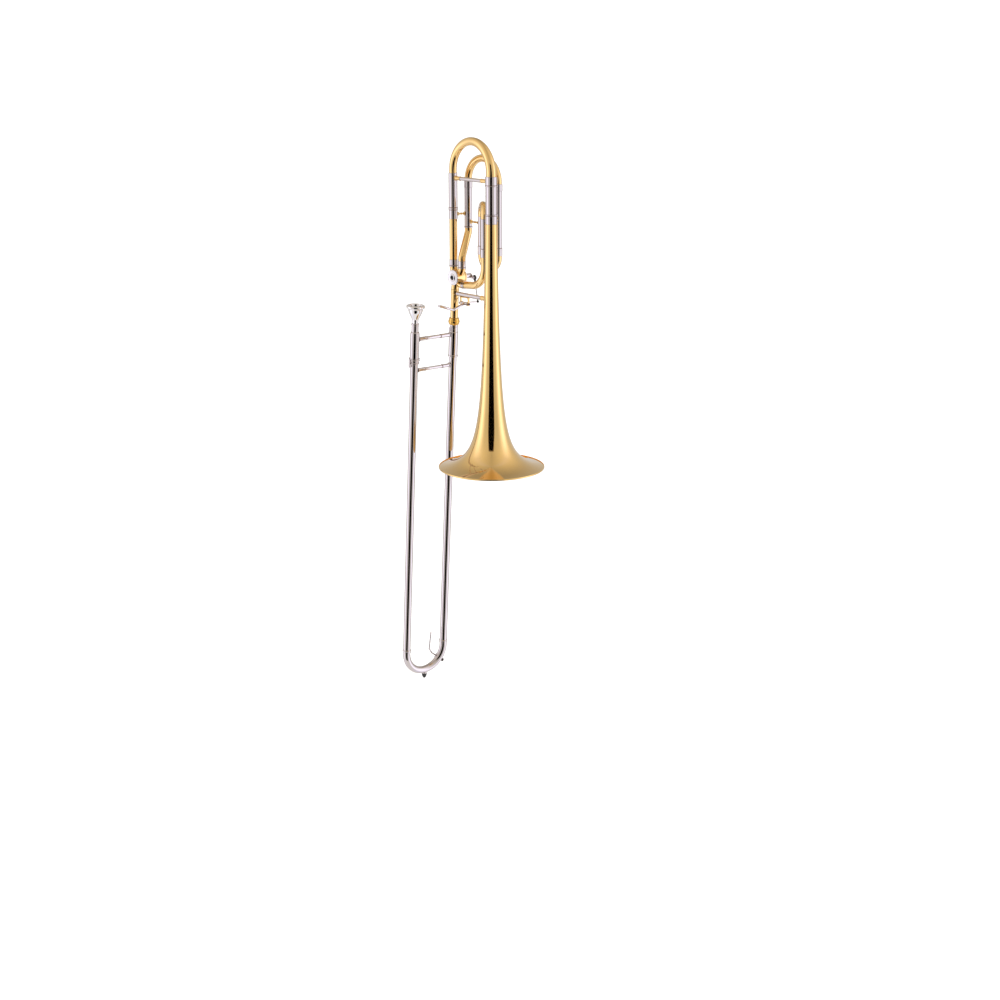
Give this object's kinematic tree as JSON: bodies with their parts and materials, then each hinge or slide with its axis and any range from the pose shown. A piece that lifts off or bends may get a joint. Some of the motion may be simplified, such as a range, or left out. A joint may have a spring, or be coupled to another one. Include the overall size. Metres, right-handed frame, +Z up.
{
  "type": "trombone",
  "caption": "Tenor trombone with F attachment: flared bell, rotary thumb valve, tuning slides and a telescoping hand slide",
  "frame": {"origin": "centre of the bell's rim plane", "axes": "+Z up the bell's axis, towards its stem; -X towards the neck pipe; the mouthpiece side of the hand slide at -Y"},
  "size_m": [0.2908, 0.2258, 1.1604],
  "materials": {
    "lacquered_brass": "polished, clear lacquer",
    "nickel_silver": "polished nickel silver, clear lacquer",
    "silver_plate": "polished silver plate",
    "steel": "satin",
    "black_plastic": "satin",
    "rubber": "matt",
    "cork": "matt"
  },
  "bodies": {
    "bell_section": {"bell": "lacquered_brass", "bell_ferrule": "nickel_silver", "main_sleeve": "nickel_silver", "neck_inner_leg": "nickel_silver", "neck_upper_ferrule": "nickel_silver", "neck_pipe": "lacquered_brass", "neck_lower_ferrule": "nickel_silver", "f_port_ferrule": "nickel_silver", "f_entry_tube": "lacquered_brass", "f_sleeve_a": "nickel_silver", "f_sleeve_b": "nickel_silver", "f_crook": "lacquered_brass", "small_sleeve_far": "nickel_silver", "small_sleeve_near": "nickel_silver", "return_tube": "lacquered_brass", "return_ferrule": "nickel_silver", "neck_stay": "lacquered_brass", "f_stay": "lacquered_brass", "bell_stay": "lacquered_brass", "valve_casing": "lacquered_brass", "valve_cap": "nickel_silver", "bearing_plate": "nickel_silver", "bell_brace": "nickel_silver", "lever_saddle": "lacquered_brass", "lever_pin": "steel", "neck_receiver": "lacquered_brass"},
    "main_tuning_slide": {"main_bow": "lacquered_brass", "main_bow_ferrule": "nickel_silver", "main_inner_leg": "nickel_silver", "main_bow_sleeve": "nickel_silver", "main_brace": "nickel_silver"},
    "f_tuning_slide": {"f_bow": "lacquered_brass", "f_inner_leg_a": "nickel_silver", "f_inner_leg_b": "nickel_silver"},
    "small_tuning_slide": {"small_bow": "lacquered_brass", "small_inner_leg_far": "nickel_silver", "small_inner_leg_near": "nickel_silver"},
    "rotor": {"rotor": "nickel_silver", "stop_arm": "nickel_silver", "stop_arm_screw": "steel"},
    "link": {"link_rod": "black_plastic"},
    "thumb_lever": {"thumb_lever": "nickel_silver"},
    "lock_nut": {"lock_nut": "lacquered_brass"},
    "hand_slide": {"inner_tube_bell_side": "nickel_silver", "inner_tube_mouth_side": "nickel_silver", "barrel_bell_side": "nickel_silver", "barrel_mouth_side": "nickel_silver", "hand_brace": "nickel_silver", "barrel_lug": "nickel_silver"},
    "slide_lock": {"slide_lock": "nickel_silver"},
    "mouthpiece": {"mouthpiece": "silver_plate"},
    "outer_slide": {"outer_tube_bell_side": "nickel_silver", "outer_tube_mouth_side": "nickel_silver", "outer_brace": "nickel_silver", "end_bow": "nickel_silver", "bumper": "rubber", "water_nipple": "nickel_silver", "water_key_saddle": "nickel_silver"},
    "water_key": {"water_key": "nickel_silver", "water_key_pad": "cork"}
  },
  "joints": [
    {"name": "main_tuning_pull", "type": "slide", "parent": "bell_section", "child": "main_tuning_slide", "axis": [0, 0, 1], "range_m": [0, 0.055]},
    {"name": "f_tuning_pull", "type": "slide", "parent": "bell_section", "child": "f_tuning_slide", "axis": [0, 0, 1], "range_m": [0, 0.065]},
    {"name": "small_tuning_pull", "type": "slide", "parent": "bell_section", "child": "small_tuning_slide", "axis": [0, 0, 1], "range_m": [0, 0.045]},
    {"name": "lever_press", "type": "hinge", "parent": "bell_section", "child": "thumb_lever", "pos_m": [-0.083, 0, 0.3236], "axis": [1, 0, 0], "range_deg": [0, 20], "stiffness_Nm_per_rad": 0.35, "springref_deg": -34.38},
    {"name": "rotor_turn", "type": "hinge", "parent": "bell_section", "child": "rotor", "pos_m": [-0.1085, 0.0032, 0.374], "axis": [0, -1, 0], "range_deg": [0, 80]},
    {"name": "link_swing", "type": "hinge", "parent": "rotor", "child": "link", "pos_m": [-0.099, 0.0393, 0.3706], "axis": [0, -1, 0], "range_deg": [-75, 0]},
    {"name": "nut_turn", "type": "hinge", "parent": "bell_section", "child": "lock_nut", "pos_m": [-0.1183, 0, 0.2833], "axis": [-0.0663, 0.0012, -0.9978], "continuous": true},
    {"name": "slide_swivel", "type": "hinge", "parent": "bell_section", "child": "hand_slide", "pos_m": [-0.1183, 0, 0.2833], "axis": [-0.0663, 0.0012, -0.9978], "range_deg": [-20, 20]},
    {"name": "slide_lock_turn", "type": "hinge", "parent": "hand_slide", "child": "slide_lock", "pos_m": [-0.12453, -0.09871, 0.21545], "axis": [-0.0663, 0.0012, -0.9978], "range_deg": [0, 40]},
    {"name": "mouthpiece_pull", "type": "slide", "parent": "hand_slide", "child": "mouthpiece", "axis": [0.0663, -0.0012, 0.9978], "range_m": [0, 0.06]},
    {"name": "hand_slide_travel", "type": "slide", "parent": "hand_slide", "child": "outer_slide", "axis": [-0.0663, 0.0012, -0.9978], "range_m": [0, 0.6]},
    {"name": "water_key_press", "type": "hinge", "parent": "outer_slide", "child": "water_key", "pos_m": [-0.18065, -0.00785, -0.46456], "axis": [0.0643, 0.5725, 0.8174], "range_deg": [0, 18], "stiffness_Nm_per_rad": 0.05, "springref_deg": -28.65}
  ],
  "couplings": [
    {"joint": "rotor_turn", "follows": "lever_press", "ratio": 4},
    {"joint": "link_swing", "follows": "lever_press", "ratio": -3.72}
  ]
}
